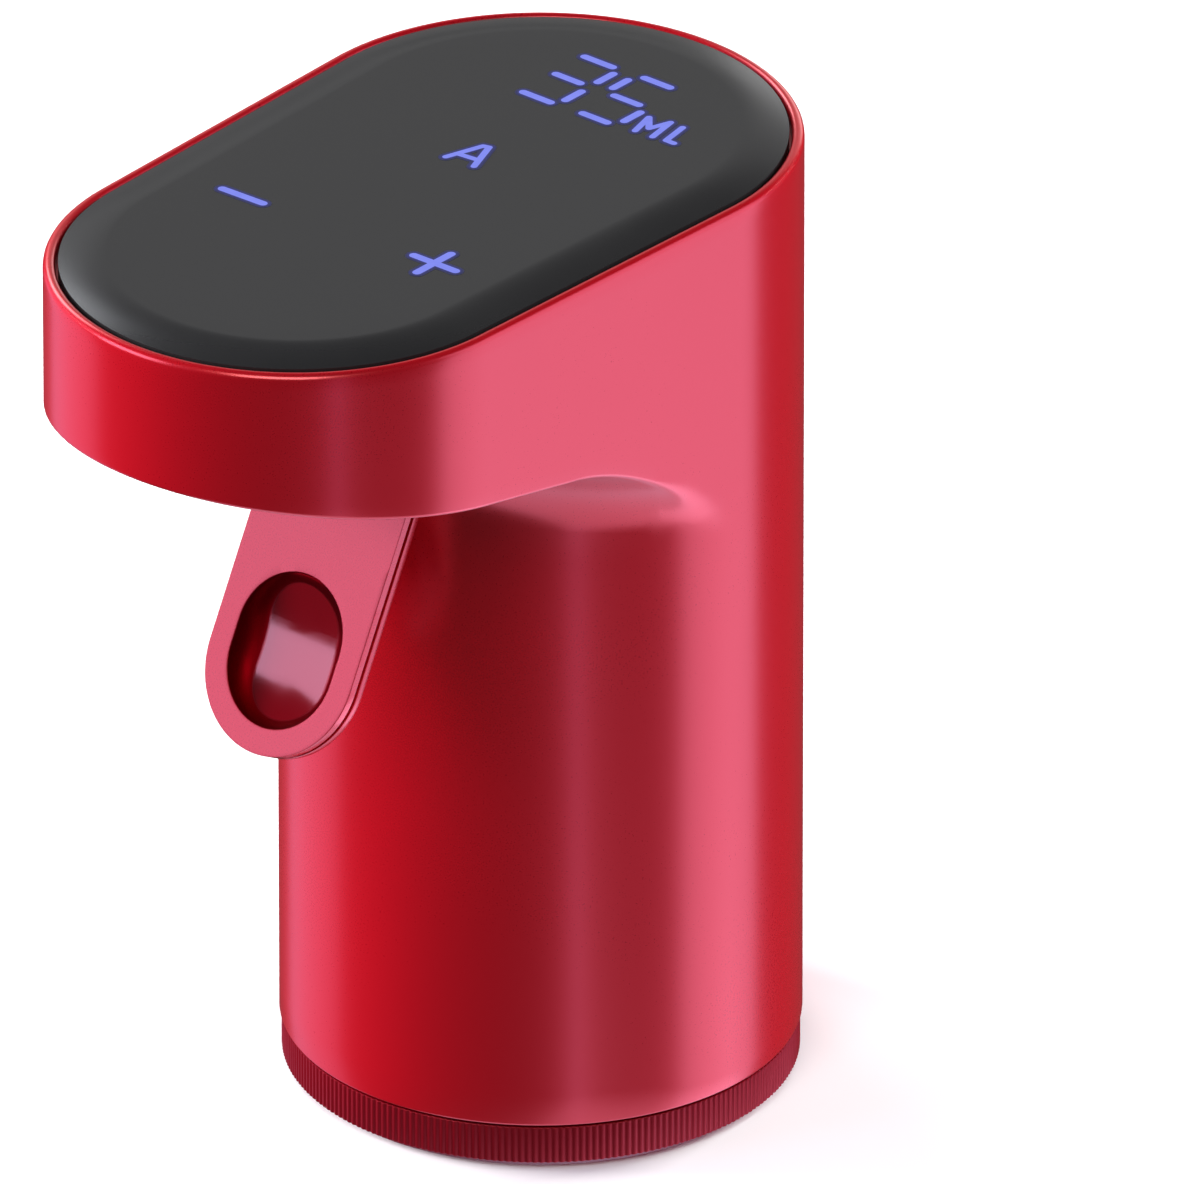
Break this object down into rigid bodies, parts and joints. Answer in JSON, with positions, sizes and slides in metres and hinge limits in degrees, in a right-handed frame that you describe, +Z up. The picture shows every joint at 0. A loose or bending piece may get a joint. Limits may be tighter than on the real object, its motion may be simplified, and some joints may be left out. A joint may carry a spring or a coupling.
{
  "type": "electric wine dispenser",
  "caption": "Battery wine dispenser for a bottle's neck: round body with pump, forward head with spout, touch panel, cup push lever and ribbed twist collar.",
  "frame": {"origin": "centre of the foot ring, on the axis of the body and of the bottle's neck", "axes": "+Z up along the body's axis, -Y towards the spout, +X to the right of a user who faces the spout"},
  "size_m": [0.058, 0.0976, 0.1152],
  "materials": {
    "shell": "satin metallic red",
    "panel": "satin charcoal panel with lit marks",
    "lever": "satin metallic red",
    "grip": "fine ribs, dark red",
    "collar": "dark moulded plastic",
    "well": "dark grey moulded plastic",
    "silicone": "translucent white silicone",
    "seal": "black rubber",
    "hose": "clear silicone hose",
    "frame": "natural grey plastic",
    "pump": "white engineering plastic",
    "steel": "plain steel",
    "motor": "zinc-plated steel",
    "brass": "plain brass",
    "cell": "blue wrapped can",
    "board": "green board",
    "digits": "black display block",
    "pads": "copper foil",
    "spout": "dark food-safe plastic"
  },
  "bodies": {
    "housing": {"housing_shell": "shell", "touch_panel": "panel", "panel_gasket": "seal", "display_board": "board", "digit_display": "digits", "touch_pads": "pads", "board_screws": "steel", "neck_well": "well", "well_screws": "steel", "neck_sleeve": "silicone", "mouth_plug": "silicone", "inlet_fitting": "pump", "fitting_nut": "brass", "chassis": "frame", "chassis_screws": "steel", "battery_cell": "cell", "cell_tabs": "steel", "main_board": "board", "usb_socket": "steel", "motor_can": "motor", "motor_cap": "pump", "idler_pin": "steel", "pump_body": "pump", "pump_seal": "seal", "pump_cover": "pump", "pump_screws": "steel", "inlet_hose": "hose", "outlet_hose": "hose", "spout_nozzle": "spout", "spout_seal": "silicone", "lever_pin": "steel", "lever_spring": "steel", "switch_body": "digits"},
    "lever": {"lever_face": "lever", "lever_arm": "lever"},
    "collar": {"lock_collar": "collar", "collar_grip": "grip"},
    "rotor": {"motor_shaft": "steel", "motor_armature": "motor", "drive_gear": "pump"},
    "idler": {"idler_gear": "pump"},
    "button": {"switch_button": "pump"}
  },
  "joints": [
    {"name": "lever_push", "type": "hinge", "parent": "housing", "child": "lever", "pos_m": [0, -0.02596, 0.09723], "axis": [1, 0, 0], "range_deg": [0, 8], "stiffness_Nm_per_rad": 0.35, "springref_deg": -6.88},
    {"name": "switch_press", "type": "slide", "parent": "housing", "child": "button", "axis": [0, 0, 1], "range_m": [0, 0.0008]},
    {"name": "collar_twist", "type": "hinge", "parent": "housing", "child": "collar", "pos_m": [0, 0, 0], "axis": [0, 0, 1], "range_deg": [0, 40]},
    {"name": "rotor_spin", "type": "hinge", "parent": "housing", "child": "rotor", "pos_m": [-0.0115, 0.0035, 0.0838], "axis": [0, 0, 1], "continuous": true},
    {"name": "idler_spin", "type": "hinge", "parent": "housing", "child": "idler", "pos_m": [-0.0115, 0.0107, 0.0838], "axis": [0, 0, 1], "continuous": true}
  ],
  "couplings": [
    {"joint": "switch_press", "follows": "lever_push", "m_per_rad": 0.0055},
    {"joint": "idler_spin", "follows": "rotor_spin", "ratio": -1}
  ]
}
